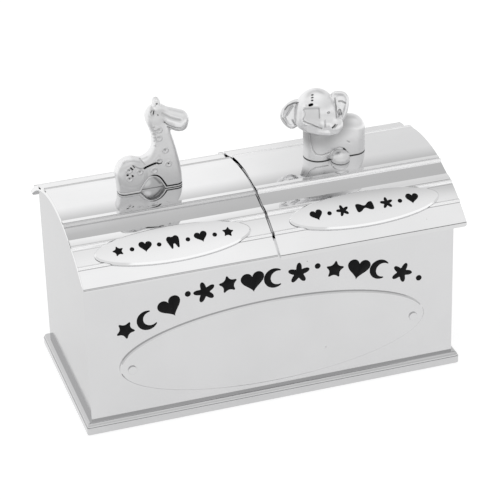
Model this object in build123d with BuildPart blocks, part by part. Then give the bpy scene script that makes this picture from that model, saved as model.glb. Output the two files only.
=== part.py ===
from build123d import *
import os
from math import cos, pi, radians, sin, sqrt

# A silver-plated keepsake box with two compartments and two arched, hinged lids, one with a
# giraffe and one with an elephant. Millimetres, +Z up, +X along the length, -Y to the front.
# The origin is under the middle of the box, on the surface that it stands on.

os.makedirs("parts", exist_ok=True)

# Driving sizes of the body
body_length = 85.0
body_depth = 39.0
wall = 1.2
wall_top_gap = 0.26
divider_thickness = 2.0

# Foot: felt pad, base plate and plinth moulding
pad_thickness = 1.0
pad_margin = 0.4
base_thickness = 1.2
plinth_lift = 0.2
plinth_width = 1.4
plinth_fascia = 1.8
plinth_crease = 0.14
plinth_round = 0.95
plinth_corner = 0.5
plinth_bottom_edge = 0.25

# Linings of the two compartments
lining_thickness = 0.8
lining_gap = 0.1
lining_top = 36.5
lining_corner = 1.5

# Oval engraving plate on the front wall, and its two pins
plate_half_length = 35.5
plate_half_height = 10.4
plate_centre_z = 14.9
plate_thickness = 0.6
plate_bevel = 0.25
pin_inset = 2.7
pin_drop = 0.4
pin_head_radius = 1.0
pin_head_height = 0.35
pin_head_edge = 0.12
pin_shank_radius = 0.55
pin_hole_gap = 0.05

# Lids: an arched shell with mouldings that run along it
arch_radius = 38.4
crown_z = 47.6
shell_thickness = 1.1
lid_overhang = 0.85
lid_seam = 0.5
seat_gap = 0.2
rim_overhang = 4.9
rim_drop = 0.62
rim_width = 1.4
rim_crease = 0.12
rim_corner = 0.45
curl_lid_proud = 0.35

# Widths of the moulding bands, measured along the arch from the crown's middle line
crown_half = 8.7
bead_width = 0.8
cove_width = 6.0
ridge_width = 0.9
band_width = 4.4

# Heights of the mouldings above or below the arch
bead_height = 0.35
cove_step = 0.2
cove_depth = 0.4
ridge_height = 0.32
lower_step = 0.12

# Raised oval plaque on each lid
plaque_half_length = 17.4
plaque_half_height = 4.5
plaque_angle = 28.4
plaque_height = 0.9
plaque_recess = 0.25
plaque_gap = 0.08
plaque_edge = 0.35

# Hinges: pivot line behind the rear wall, under the lids' rear overhang
pivot_behind_wall = 1.9
pivot_below_lid = 2.45
knuckle_radius = 1.1
hinge_pin_radius = 0.5
hinge_pin_gap = 0.05
hinge_pin_proud = 0.3
hinge_length = 26.0
knuckle_count = 5
knuckle_gap = 0.2
box_leaf_thickness = 0.6
box_leaf_below_pivot = 1.3
box_leaf_above_pivot = 2.2
lid_leaf_thickness = 0.5
lid_leaf_inward = 0.9
lid_leaf_outward = 1.5
leaf_web = 1.2
solder_gap = 0.02

# Screws that hold the animals to the lids; their places are shares of each animal's height
screw_radius = 0.95
screw_hole_gap = 0.1
screw_head_radius = 1.8
screw_head_height = 1.1
screw_reach = 1.7
screw_slot_width = 0.5
screw_slot_depth = 0.5
giraffe_screw_shares = (-0.205, 0.243)
elephant_screw_shares = (-0.106, 0.212)

# Giraffe: its height above the crown, and its middle along the lid. Its own sizes are shares
# of the height.
giraffe_height = 21.4
giraffe_x = -21.7
animal_seat_gap = 0.02

# Elephant: likewise, with its own middle in depth and a turn towards the front left
elephant_height = 17.2
elephant_x = 20.5
elephant_y = -1.0
elephant_turn = -17.0

# One overrun serves every cut
overrun = 1.0

# Values that follow
base_bottom = pad_thickness
base_top = base_bottom + base_thickness
plinth_top = plinth_lift + plinth_fascia + plinth_round
half_length = body_length / 2
half_depth = body_depth / 2
arch_z = crown_z - arch_radius
shell_inner = arch_radius - shell_thickness
wall_arch = shell_inner - seat_gap
lid_length = half_length + lid_overhang - lid_seam / 2
lid_centre_x = (half_length + lid_overhang + lid_seam / 2) / 2
compartment_length = half_length - wall - divider_thickness / 2
compartment_x = divider_thickness / 2 + compartment_length / 2
compartment_depth = body_depth - 2 * wall


def finish(part, name):
    """Label one finished piece and write its file."""
    part.label = name
    export_step(part, f"parts/{name}.step")


def arch_point(along, radius):
    """Point (y, z) of the arch at a distance along it from the crown, on a given radius."""
    angle = along / arch_radius
    return (radius * sin(angle), arch_z + radius * cos(angle))


def arch_height(y, radius):
    """Height of an arch of a given radius at a distance y from the middle."""
    return arch_z + sqrt(radius * radius - y * y)


# Heights that follow from the arch: the walls' top, the lids' rim and the hinges' pivot
wall_top = arch_height(half_depth, wall_arch) - wall_top_gap
rim_half_depth = half_depth + rim_overhang
rim_bottom = arch_height(rim_half_depth, arch_radius) - rim_drop
pivot_y = half_depth + pivot_behind_wall
pivot_z = arch_height(pivot_y, shell_inner) - pivot_below_lid
box_leaf_bottom = pivot_z - box_leaf_below_pivot
box_leaf_top = pivot_z + box_leaf_above_pivot
lid_leaf_inner_y = pivot_y - lid_leaf_inward
lid_leaf_outer_y = pivot_y + lid_leaf_outward


# Felt pad under the base plate
with BuildPart() as base_pad:
    with BuildSketch():
        Rectangle(body_length - 2 * pad_margin, body_depth - 2 * pad_margin)
    extrude(amount=pad_thickness)
finish(base_pad.part, "base_pad")

# Base plate that carries the walls
with BuildPart() as base_plate:
    with BuildSketch(Plane.XY.offset(base_bottom)):
        Rectangle(body_length, body_depth)
    extrude(amount=base_thickness)
finish(base_plate.part, "base_plate")

# Plinth moulding: a square fascia with a quarter round above it, round the foot of the walls
with BuildPart() as plinth:
    with BuildSketch(Plane.XY.offset(plinth_lift)):
        RectangleRounded(body_length + 2 * plinth_width, body_depth + 2 * plinth_width, plinth_corner)
    extrude(amount=plinth_fascia)
    fillet(plinth.faces().sort_by(Axis.Z)[0].edges(), plinth_bottom_edge)
    round_width = plinth_width - plinth_crease
    with BuildSketch(Plane.XY.offset(plinth_lift + plinth_fascia)):
        RectangleRounded(body_length + 2 * round_width, body_depth + 2 * round_width, plinth_corner)
    extrude(amount=plinth_round)
    fillet(plinth.faces().sort_by(Axis.Z)[-1].edges(), plinth_round - plinth_crease)
    with BuildSketch(Plane.XY):
        Rectangle(body_length, body_depth)
    extrude(amount=plinth_top + overrun, mode=Mode.SUBTRACT)
finish(plinth.part, "plinth_moulding")


def long_wall(side):
    """Front (side -1) or rear (side 1) wall, mitred at both ends."""
    outer_y = side * half_depth
    inner_y = side * (half_depth - wall)
    with BuildPart() as panel:
        with BuildSketch(Plane.XY.offset(base_top)):
            Polygon(
                (-half_length, outer_y),
                (half_length, outer_y),
                (half_length - wall, inner_y),
                (wall - half_length, inner_y),
                align=None,
            )
        extrude(amount=wall_top - base_top)
    return panel


def arched_profile(half_width):
    """Upright outline with an arched top that follows the inside of the lids."""
    with BuildLine() as outline:
        corner = (half_width, arch_height(half_width, wall_arch))
        mirrored = (-half_width, corner[1])
        ThreePointArc(mirrored, (0, arch_z + wall_arch), corner)
        Polyline(corner, (half_width, base_top), (-half_width, base_top), mirrored)
    return outline


def end_wall(side):
    """Left (side -1) or right (side 1) end wall: an arched gable, mitred at front and rear."""
    outer_x = side * half_length
    inner_x = side * (half_length - wall)
    with BuildPart() as panel:
        with BuildSketch(Plane.XY.offset(base_top)):
            Polygon(
                (outer_x, -half_depth),
                (outer_x, half_depth),
                (inner_x, half_depth - wall),
                (inner_x, wall - half_depth),
                align=None,
            )
        extrude(amount=crown_z)
        with BuildSketch(Plane.YZ.offset(outer_x)):
            arched_outline = arched_profile(half_depth)
            add(arched_outline.line)
            make_face()
        extrude(amount=wall, both=True, mode=Mode.INTERSECT)
    return panel


pin_x = plate_half_length - pin_inset
pin_places = [(-pin_x, plate_centre_z - pin_drop), (pin_x, plate_centre_z - pin_drop)]

# Front wall, bored for the pins of the engraving plate
front = long_wall(-1)
with BuildPart() as front_wall:
    add(front.part)
    with BuildSketch(Plane.XZ.offset(half_depth)):
        with Locations(*pin_places):
            Circle(pin_shank_radius + pin_hole_gap)
    extrude(amount=-wall, mode=Mode.SUBTRACT)
finish(front_wall.part, "front_wall")

rear_wall = long_wall(1)
finish(rear_wall.part, "rear_wall")

left_end_wall = end_wall(-1)
finish(left_end_wall.part, "left_end_wall")

right_end_wall = end_wall(1)
finish(right_end_wall.part, "right_end_wall")

# Divider between the compartments, under the seam of the lids
with BuildPart() as divider:
    with BuildSketch(Plane.YZ.offset(-divider_thickness / 2)):
        divider_outline = arched_profile(half_depth - wall)
        add(divider_outline.line)
        make_face()
    extrude(amount=divider_thickness)
finish(divider.part, "centre_divider")


def compartment_lining(side, name):
    """Open velvet tray that lines one compartment."""
    outer_length = compartment_length - 2 * lining_gap
    outer_depth = compartment_depth - 2 * lining_gap
    tray_plane = Plane.XY.offset(base_top)
    with BuildPart() as tray:
        with BuildSketch(tray_plane):
            with Locations((side * compartment_x, 0)):
                Rectangle(outer_length, outer_depth)
        extrude(amount=lining_top - base_top)
        with BuildSketch(tray_plane.offset(lining_thickness)):
            with Locations((side * compartment_x, 0)):
                RectangleRounded(
                    outer_length - 2 * lining_thickness,
                    outer_depth - 2 * lining_thickness,
                    lining_corner,
                )
        extrude(amount=lining_top, mode=Mode.SUBTRACT)
    finish(tray.part, name)


compartment_lining(-1, "tooth_compartment_lining")
compartment_lining(1, "curl_compartment_lining")

# Oval engraving plate with a bevelled edge
plate_plane = Plane.XZ.offset(half_depth)
with BuildPart() as engraving_plate:
    with BuildSketch(plate_plane):
        with Locations((0, plate_centre_z)):
            Ellipse(plate_half_length, plate_half_height)
    extrude(amount=plate_thickness)
    chamfer(engraving_plate.faces().sort_by(Axis.Y)[0].edges(), plate_bevel)
    with BuildSketch(plate_plane):
        with Locations(*pin_places):
            Circle(pin_shank_radius + pin_hole_gap)
    extrude(amount=plate_thickness, mode=Mode.SUBTRACT)
finish(engraving_plate.part, "engraving_plate")

# Two pins through the plate and the front wall
with BuildPart() as plate_pins:
    with BuildSketch(plate_plane.offset(-wall)):
        with Locations(*pin_places):
            Circle(pin_shank_radius)
    extrude(amount=wall + plate_thickness)
    with BuildSketch(plate_plane.offset(plate_thickness)):
        with Locations(*pin_places):
            Circle(pin_head_radius)
    extrude(amount=pin_head_height)
    fillet(plate_pins.faces().group_by(Axis.Y)[0].edges(), pin_head_edge)
finish(plate_pins.part, "engraving_plate_pins")


def moulded_half(proud):
    """Front half of a lid's outer outline, from the crown down to the rim, as a list of lines."""
    face = arch_radius + proud
    stations = [crown_half]
    for width in (bead_width, cove_width, ridge_width, band_width, ridge_width):
        stations.append(stations[-1] + width)
    bead_in, bead_out, cove_out, ridge_out, band_out, lower_in = stations
    rim_y = rim_half_depth + proud
    lower_face = face - lower_step
    lower_end_y = rim_y - rim_crease
    lower_end = (lower_end_y, arch_height(lower_end_y, lower_face))
    rim_top = lower_end[1] - rim_crease

    def middle(start, end):
        return (start + end) / 2

    ThreePointArc((0, arch_z + face), arch_point(crown_half / 2, face), arch_point(bead_in, face))
    ThreePointArc(
        arch_point(bead_in, face),
        arch_point(middle(bead_in, bead_out), face + bead_height),
        arch_point(bead_out, face - cove_step),
    )
    ThreePointArc(
        arch_point(bead_out, face - cove_step),
        arch_point(middle(bead_out, cove_out), face - cove_depth),
        arch_point(cove_out, face - cove_step),
    )
    ThreePointArc(
        arch_point(cove_out, face - cove_step),
        arch_point(middle(cove_out, ridge_out), face + ridge_height),
        arch_point(ridge_out, face),
    )
    ThreePointArc(
        arch_point(ridge_out, face),
        arch_point(middle(ridge_out, band_out), face),
        arch_point(band_out, face),
    )
    ThreePointArc(
        arch_point(band_out, face),
        arch_point(middle(band_out, lower_in), face + ridge_height),
        arch_point(lower_in, lower_face),
    )
    lower_middle_y = middle(arch_point(lower_in, lower_face)[0], lower_end_y)
    ThreePointArc(
        arch_point(lower_in, lower_face),
        (lower_middle_y, arch_height(lower_middle_y, lower_face)),
        lower_end,
    )
    Polyline(
        lower_end,
        (lower_end_y, rim_top),
        (rim_y, rim_top),
        (rim_y, rim_bottom - proud),
        (rim_y - proud - rim_width, rim_bottom - proud),
        (rim_y - proud - rim_width, arch_height(rim_half_depth - rim_width, shell_inner)),
    )
    inner_middle = arch_height((rim_half_depth - rim_width) / 2, shell_inner)
    ThreePointArc(
        (rim_half_depth - rim_width, arch_height(rim_half_depth - rim_width, shell_inner)),
        ((rim_half_depth - rim_width) / 2, inner_middle),
        (0, arch_z + shell_inner),
    )
    Line((0, arch_z + shell_inner), (0, arch_z + face))


def plaque_plane(proud, depth):
    """Plane square to the lid's front slope at the middle of its plaque, at a depth below the arch."""
    angle = radians(plaque_angle)
    radius = arch_radius + proud - depth
    return Plane(
        origin=(0, -radius * sin(angle), arch_z + radius * cos(angle)),
        x_dir=(1, 0, 0),
        z_dir=(0, -sin(angle), cos(angle)),
    )


def arch_solid(radius, centre_x, length):
    """Long cylinder round the arch's centre line, to trim pieces that follow the lids."""
    with BuildPart() as cylinder:
        with BuildSketch(Plane.YZ.offset(centre_x - length / 2)):
            with Locations((0, arch_z)):
                Circle(radius)
        extrude(amount=length)
    return cylinder.part


def lid_shell(side, proud, screw_places, name):
    """Arched lid with its mouldings, a recess for the plaque and holes for the screws."""
    start_x = lid_seam / 2 if side > 0 else -lid_seam / 2 - lid_length
    centre_x = side * lid_centre_x
    recess_floor = arch_solid(arch_radius + proud - plaque_recess, centre_x, lid_length + overrun)
    with BuildPart() as recess:
        with BuildSketch(plaque_plane(proud, plaque_recess + overrun)):
            with Locations((centre_x, 0)):
                Ellipse(plaque_half_length + plaque_gap, plaque_half_height + plaque_gap)
        extrude(amount=3 * overrun)
        add(recess_floor, mode=Mode.SUBTRACT)
    with BuildPart() as shell:
        with BuildSketch(Plane.YZ.offset(start_x)):
            with BuildLine():
                moulded_half(proud)
            make_face()
            mirror(about=Plane.YZ)
        extrude(amount=lid_length)
        add(recess.part, mode=Mode.SUBTRACT)
        with BuildSketch(Plane.XY.offset(crown_z - shell_thickness - overrun)):
            with Locations(*screw_places):
                Circle(screw_radius + screw_hole_gap)
        extrude(amount=shell_thickness + proud + 2 * overrun, mode=Mode.SUBTRACT)
        rim_ends = shell.edges().filter_by(Axis.Y).filter_by_position(
            Axis.Z, rim_bottom - proud - rim_crease, rim_bottom - proud + rim_crease
        )
        fillet(rim_ends, rim_corner)
    finish(shell.part, name)


def lid_plaque(side, proud, name):
    """Oval plaque that follows the slope of a lid, with sloping sides."""
    centre_x = side * lid_centre_x
    seat = arch_solid(arch_radius + proud - plaque_recess, centre_x, lid_length)
    face = arch_solid(arch_radius + proud - plaque_recess + plaque_height, centre_x, lid_length)
    with BuildPart() as plaque:
        with BuildSketch(plaque_plane(proud, plaque_recess + overrun)):
            with Locations((centre_x, 0)):
                Ellipse(plaque_half_length, plaque_half_height)
        extrude(amount=3 * overrun)
        add(seat, mode=Mode.SUBTRACT)
        add(face, mode=Mode.INTERSECT)
        chamfer(plaque.faces().sort_by(Axis.Z)[-1].outer_wire().edges(), plaque_edge)
    finish(plaque.part, name)


# Fixing screws: two up into each animal, on the crown's middle line
giraffe_screw_places = [(giraffe_x + share * giraffe_height, 0) for share in giraffe_screw_shares]
elephant_screw_places = [(elephant_x + share * elephant_height, 0) for share in elephant_screw_shares]

lid_shell(-1, 0, giraffe_screw_places, "tooth_lid")
lid_shell(1, curl_lid_proud, elephant_screw_places, "curl_lid")
lid_plaque(-1, 0, "tooth_lid_plaque")
lid_plaque(1, curl_lid_proud, "curl_lid_plaque")


def fixing_screws(places, proud, name):
    """Two slotted screws from under a lid into the animal on it."""
    head_top = arch_height(screw_head_radius, shell_inner)
    tip = crown_z + proud + screw_reach
    with BuildPart() as screws:
        with BuildSketch(Plane.XY.offset(head_top - screw_head_height)):
            with Locations(*places):
                Circle(screw_head_radius)
        extrude(amount=screw_head_height)
        with BuildSketch(Plane.XY.offset(head_top)):
            with Locations(*places):
                Circle(screw_radius)
        extrude(amount=tip - head_top)
        with BuildSketch(Plane.XY.offset(head_top - screw_head_height)):
            with Locations(*places):
                Rectangle(screw_slot_width, 2 * screw_head_radius)
        extrude(amount=screw_slot_depth, mode=Mode.SUBTRACT)
    finish(screws.part, name)


fixing_screws(giraffe_screw_places, 0, "giraffe_screws")
fixing_screws(elephant_screw_places, curl_lid_proud, "elephant_screws")


def hinge(side, box_leaf_name, lid_leaf_name, pin_name):
    """Butt hinge of one lid: a leaf on the rear wall, a leaf inside the lid and the pin."""
    centre_x = side * lid_centre_x
    start_x = centre_x - hinge_length / 2
    pitch = (hinge_length + knuckle_gap) / knuckle_count
    knuckle_length = pitch - knuckle_gap
    box_starts = [start_x + index * pitch for index in range(0, knuckle_count, 2)]
    lid_starts = [start_x + index * pitch for index in range(1, knuckle_count, 2)]
    bore_radius = hinge_pin_radius + hinge_pin_gap

    with BuildPart() as box_leaf:
        with BuildSketch(Plane.YZ.offset(start_x)):
            with Locations((half_depth + box_leaf_thickness / 2, (box_leaf_bottom + box_leaf_top) / 2)):
                Rectangle(box_leaf_thickness, box_leaf_top - box_leaf_bottom)
        extrude(amount=hinge_length)
        for knuckle_x in box_starts:
            with BuildSketch(Plane.YZ.offset(knuckle_x)):
                with Locations((pivot_y, pivot_z)):
                    Circle(knuckle_radius)
                with Locations(((half_depth + pivot_y) / 2, pivot_z)):
                    Rectangle(pivot_behind_wall, leaf_web)
            extrude(amount=knuckle_length)
        with BuildSketch(Plane.YZ.offset(start_x)):
            with Locations((pivot_y, pivot_z)):
                Circle(bore_radius)
        extrude(amount=hinge_length, mode=Mode.SUBTRACT)
    finish(box_leaf.part, box_leaf_name)

    leaf_outer = shell_inner - solder_gap
    leaf_inner = leaf_outer - lid_leaf_thickness
    leaf_middle_y = (lid_leaf_inner_y + lid_leaf_outer_y) / 2
    inner_end = (lid_leaf_inner_y, arch_height(lid_leaf_inner_y, leaf_inner))
    outer_end = (lid_leaf_outer_y, arch_height(lid_leaf_outer_y, leaf_inner))
    upper_inner_end = (lid_leaf_inner_y, arch_height(lid_leaf_inner_y, leaf_outer))
    upper_outer_end = (lid_leaf_outer_y, arch_height(lid_leaf_outer_y, leaf_outer))
    with BuildPart() as lid_leaf:
        with BuildSketch(Plane.YZ.offset(start_x)):
            with BuildLine():
                ThreePointArc(inner_end, (leaf_middle_y, arch_height(leaf_middle_y, leaf_inner)), outer_end)
                Line(outer_end, upper_outer_end)
                ThreePointArc(
                    upper_outer_end,
                    (leaf_middle_y, arch_height(leaf_middle_y, leaf_outer)),
                    upper_inner_end,
                )
                Line(upper_inner_end, inner_end)
            make_face()
        extrude(amount=hinge_length)
        web_top = arch_height(pivot_y + leaf_web / 2, leaf_outer - lid_leaf_thickness / 2)
        for knuckle_x in lid_starts:
            with BuildSketch(Plane.YZ.offset(knuckle_x)):
                with Locations((pivot_y, pivot_z)):
                    Circle(knuckle_radius)
                with Locations((pivot_y, (pivot_z + web_top) / 2)):
                    Rectangle(leaf_web, web_top - pivot_z)
            extrude(amount=knuckle_length)
        with BuildSketch(Plane.YZ.offset(start_x)):
            with Locations((pivot_y, pivot_z)):
                Circle(bore_radius)
        extrude(amount=hinge_length, mode=Mode.SUBTRACT)
    finish(lid_leaf.part, lid_leaf_name)

    with BuildPart() as hinge_pin:
        with BuildSketch(Plane.YZ.offset(start_x - hinge_pin_proud)):
            with Locations((pivot_y, pivot_z)):
                Circle(hinge_pin_radius)
        extrude(amount=hinge_length + 2 * hinge_pin_proud)
    finish(hinge_pin.part, pin_name)


hinge(-1, "tooth_hinge_box_leaf", "tooth_hinge_lid_leaf", "tooth_hinge_pin")
hinge(1, "curl_hinge_box_leaf", "curl_hinge_lid_leaf", "curl_hinge_pin")


def egg(place, half_length, radius):
    """Egg-shaped solid of revolution about the X axis of its place."""
    egg_plane = Plane(place)
    with BuildPart() as solid:
        with BuildSketch(egg_plane):
            with BuildLine():
                EllipticalCenterArc((0, 0), half_length, radius, 0, arc_size=180)
                Line((-half_length, 0), (half_length, 0))
            make_face()
        revolve(axis=Axis(egg_plane.origin, egg_plane.x_dir))
    return solid.part


def capsule(place, half_length, radius):
    """Round-ended bar about the X axis of its place."""
    capsule_plane = Plane(place)
    straight = half_length - radius
    with BuildPart() as solid:
        with BuildSketch(capsule_plane):
            with BuildLine():
                ThreePointArc(
                    (-half_length, 0),
                    (-straight - radius * cos(pi / 4), radius * sin(pi / 4)),
                    (-straight, radius),
                )
                Line((-straight, radius), (straight, radius))
                ThreePointArc(
                    (straight, radius),
                    (straight + radius * cos(pi / 4), radius * sin(pi / 4)),
                    (half_length, 0),
                )
                Line((half_length, 0), (-half_length, 0))
            make_face()
        revolve(axis=Axis(capsule_plane.origin, capsule_plane.x_dir))
    return solid.part


def shares(values, size):
    """Lengths from a tuple of shares of one size."""
    return tuple(value * size for value in values)


# Giraffe: shares of its height, from its middle on the crown; +X is where it looks.
# A flat-sided casting: its side outline goes up the rump, back and neck, and from the throat down
# the chest. The head, the round haunch and the small forms are added to it.
giraffe_half_share = 0.089
giraffe_edge_share = 0.061
giraffe_foot_share = -0.140
giraffe_back_shares = [
    (-0.343, 0.140),
    (-0.335, 0.275),
    (-0.262, 0.362),
    (-0.165, 0.373),
    (-0.065, 0.370),
    (0.019, 0.420),
    (0.056, 0.523),
    (0.033, 0.645),
    (0.003, 0.757),
    (0.030, 0.820),
]
giraffe_chest_shares = [
    (0.205, 0.730),
    (0.252, 0.598),
    (0.294, 0.420),
    (0.325, 0.257),
    (0.340, 0.126),
]
# Arch between the hind and the front feet, cut right through
giraffe_arch_shares = [
    (-0.135, -0.050),
    (-0.089, 0.047),
    (-0.023, 0.128),
    (0.018, 0.143),
    (0.066, 0.125),
    (0.117, 0.066),
    (0.170, -0.050),
]
haunch_centre_shares = (-0.187, 0.212)
haunch_radius_share = 0.152
haunch_half_share = 0.101
haunch_edge_share = 0.035
head_centre_shares = (0.108, 0, 0.818)
head_radius_share = 0.112
snout_turn = (0, 26, -6)
# Half outline of the snout: distance from the head's centre, radius
snout_shares = [(0, 0.105), (0.13, 0.103), (0.245, 0.112), (0.357, 0)]
horn_shares = [(0.108, -0.028), (0.112, 0.028)]
horn_top_share = 0.963
horn_stalk_share = 0.026
horn_knob_share = 0.037
ear_place_shares = (0.060, 0.102, 0.862)
ear_half_share = 0.050
ear_radius_share = 0.030
eye_place_shares = (0.117, 0.104, 0.850)
eye_radius_share = 0.016
# Raised ring spots: place along X, height, half depth that they stand out to
spot_shares = [
    (0.093, 0.326, 0.094),
    (0.186, 0.281, 0.094),
    (0.166, 0.435, 0.094),
    (0.036, 0.222, 0.094),
    (-0.118, 0.243, 0.106),
    (-0.221, 0.278, 0.106),
    (-0.227, 0.181, 0.106),
    (0.106, 0.672, 0.094),
    (0.101, 0.580, 0.094),
]
spot_radius_share = 0.035
spot_bore_share = 0.014


def giraffe_place(values, side=1):
    """Point of the giraffe from its shares; side -1 mirrors it to the giraffe's other flank."""
    along, across, height = shares(values, giraffe_height)
    return (giraffe_x + along, side * across, crown_z + height)


def giraffe_outline(values):
    """Points of the giraffe's side outline, for a sketch across the lid's length."""
    return [(giraffe_x + along * giraffe_height, crown_z + height * giraffe_height) for along, height in values]


def across_plane(half):
    """Sketch plane on the giraffe's far flank, for a form that reaches as far on both flanks."""
    return Plane.XZ.offset(-half)


giraffe_half = giraffe_half_share * giraffe_height
haunch_half = haunch_half_share * giraffe_height
snout_plane = Plane(Location(giraffe_place(head_centre_shares), snout_turn))
head_z = giraffe_place(head_centre_shares)[2]
foot_z = crown_z + giraffe_foot_share * giraffe_height
lid_dome = arch_solid(arch_radius + animal_seat_gap, -lid_centre_x, lid_length)

# Side of the body, legs and neck, with rounded edges
with BuildPart() as giraffe_side:
    with BuildSketch(across_plane(giraffe_half)):
        with BuildLine():
            back = Spline(*giraffe_outline(giraffe_back_shares))
            chest = Spline(*giraffe_outline(giraffe_chest_shares))
            Line(back @ 1, chest @ 0)
            Polyline(chest @ 1, ((chest @ 1).X, foot_z), ((back @ 0).X, foot_z), back @ 0)
        make_face()
    extrude(amount=2 * giraffe_half)
    # All the flanks' edges but the two at the top, which end inside the head
    flank_edges = giraffe_side.faces().filter_by(Axis.Y).edges().sort_by(Axis.Z)[:-2]
    fillet(flank_edges, giraffe_edge_share * giraffe_height)

# Round haunch, a little proud of the flanks
with BuildPart() as haunch:
    with BuildSketch(across_plane(haunch_half)):
        with Locations(*giraffe_outline([haunch_centre_shares])):
            Circle(haunch_radius_share * giraffe_height)
    extrude(amount=2 * haunch_half)
    fillet(haunch.edges().filter_by(GeomType.CIRCLE), haunch_edge_share * giraffe_height)

with BuildPart() as giraffe:
    add(giraffe_side.part)
    add(haunch.part)
    with BuildSketch(across_plane(haunch_half + overrun)):
        with BuildLine():
            arch = Spline(*giraffe_outline(giraffe_arch_shares))
            Line(arch @ 1, arch @ 0)
        make_face()
    extrude(amount=2 * (haunch_half + overrun), mode=Mode.SUBTRACT)
    add(lid_dome, mode=Mode.SUBTRACT)
    with BuildSketch(Plane.XY.offset(crown_z - overrun)):
        with Locations(*giraffe_screw_places):
            Circle(screw_radius + screw_hole_gap)
    extrude(amount=overrun + screw_reach + screw_hole_gap, mode=Mode.SUBTRACT)
    with Locations(giraffe_place(head_centre_shares)):
        Sphere(head_radius_share * giraffe_height)
    with BuildSketch(snout_plane):
        with BuildLine():
            points = [shares(point, giraffe_height) for point in snout_shares]
            Spline(*points, tangents=[(1, 0), (0, -1)])
            Polyline(points[-1], (0, 0), points[0])
        make_face()
    revolve(axis=Axis(snout_plane.origin, snout_plane.x_dir))
    for along, across in horn_shares:
        knob = giraffe_place((along, across, horn_top_share))
        with Locations(knob):
            Sphere(horn_knob_share * giraffe_height)
        with BuildSketch(Plane.XY.offset(head_z)):
            with Locations((knob[0], knob[1])):
                Circle(horn_stalk_share * giraffe_height)
        extrude(amount=knob[2] - head_z)
    for flank in (-1, 1):
        ear_place = Location(giraffe_place(ear_place_shares, flank))
        add(egg(ear_place, ear_half_share * giraffe_height, ear_radius_share * giraffe_height))
        with Locations(giraffe_place(eye_place_shares, flank)):
            Sphere(eye_radius_share * giraffe_height)
    for along, height, half_deep in spot_shares:
        with BuildSketch(across_plane(half_deep * giraffe_height)):
            with Locations(*giraffe_outline([(along, height)])):
                Circle(spot_radius_share * giraffe_height)
                Circle(spot_bore_share * giraffe_height, mode=Mode.SUBTRACT)
        extrude(amount=2 * half_deep * giraffe_height)
finish(giraffe.part, "giraffe")

# Elephant: shares of its height, from its middle on the crown. Its own -Y is where it looks,
# and the body lies behind the head, turned back along the lid.
body_centre_shares = (0.053, 0.120)
body_half_share = 0.398
body_half_depth_share = 0.160
body_top_share = 0.545
body_edge_share = 0.150
front_leg_shares = (-0.180, 0.064)
front_leg_radius_share = 0.189
foot_place_shares = (0.087, -0.054, 0.081)
foot_half_share = 0.186
foot_radius_share = 0.105
foot_turn = (25, 0, -90)
brow_centre_shares = (-0.192, -0.029, 0.686)
brow_half_share = 0.302
brow_radius_share = 0.244
upright_turn = (0, 90, 0)
cheek_centre_shares = (-0.186, -0.093, 0.560)
cheek_half_share = 0.250
cheek_radius_share = 0.150
# Ears: round dishes with a rolled rim, open to the front; place, and the turn of the dish's axis
ear_shares = [
    ((-0.490, -0.045, 0.660), (0, 0, -112)),
    ((0.105, -0.020, 0.725), (0, 0, -50)),
]
ear_rim_centre_share = 0.162
ear_rim_radius_share = 0.038
ear_dish_thickness_share = 0.042
ear_dish_back_share = -0.016
# Trunk: down the face, across the chin and curled up to its tip on the cheek
trunk_shares = [
    (-0.264, -0.186, 0.826),
    (-0.268, -0.227, 0.700),
    (-0.209, -0.244, 0.600),
    (-0.093, -0.233, 0.552),
    (0.029, -0.186, 0.530),
]
trunk_radius_share = 0.088
trunk_tip_radius_share = 0.106
elephant_eye_shares = [(-0.338, -0.195, 0.735), (-0.046, -0.195, 0.735)]
elephant_eye_radius_share = 0.020

elephant_frame = Location((elephant_x, elephant_y, crown_z + curl_lid_proud), (0, 0, elephant_turn))


def elephant_form(centre, turn, half_share, radius_share):
    """Egg-shaped form of the elephant from its shares, set in the elephant's own frame."""
    place = elephant_frame * Location(shares(centre, elephant_height), turn)
    return egg(place, half_share * elephant_height, radius_share * elephant_height)


def elephant_ear(centre, turn):
    """Round ear of the elephant: a thin dish inside a rolled rim."""
    rim_centre = ear_rim_centre_share * elephant_height
    ear_plane = Plane(elephant_frame * Location(shares(centre, elephant_height), turn))
    with BuildPart() as ear:
        with BuildSketch(ear_plane):
            with Locations((0, rim_centre)):
                Circle(ear_rim_radius_share * elephant_height)
            with Locations((ear_dish_back_share * elephant_height, rim_centre / 2)):
                Rectangle(ear_dish_thickness_share * elephant_height, rim_centre)
        revolve(axis=Axis(ear_plane.origin, ear_plane.x_dir))
    return ear.part


def elephant_place(values):
    """Point of the elephant from its shares."""
    return (elephant_frame * Location(shares(values, elephant_height))).position


curl_dome = arch_solid(arch_radius + curl_lid_proud + animal_seat_gap, lid_centre_x, lid_length)
body_place = elephant_place((*body_centre_shares, 0))
leg_place = elephant_place((*front_leg_shares, 0))
brow_place = elephant_place(brow_centre_shares)

# Body: a long round-ended form along the lid, rounded over its back
with BuildPart() as elephant_back:
    with BuildSketch(Plane.XY.offset(crown_z - overrun)):
        with Locations((body_place.X, body_place.Y)):
            SlotOverall(2 * body_half_share * elephant_height, 2 * body_half_depth_share * elephant_height)
    extrude(amount=overrun + curl_lid_proud + body_top_share * elephant_height)
    back_edges = elephant_back.faces().sort_by(Axis.Z)[-1].edges()
    fillet(back_edges, body_edge_share * elephant_height)

foot = capsule(
    elephant_frame * Location(shares(foot_place_shares, elephant_height), foot_turn),
    foot_half_share * elephant_height,
    foot_radius_share * elephant_height,
)

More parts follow.
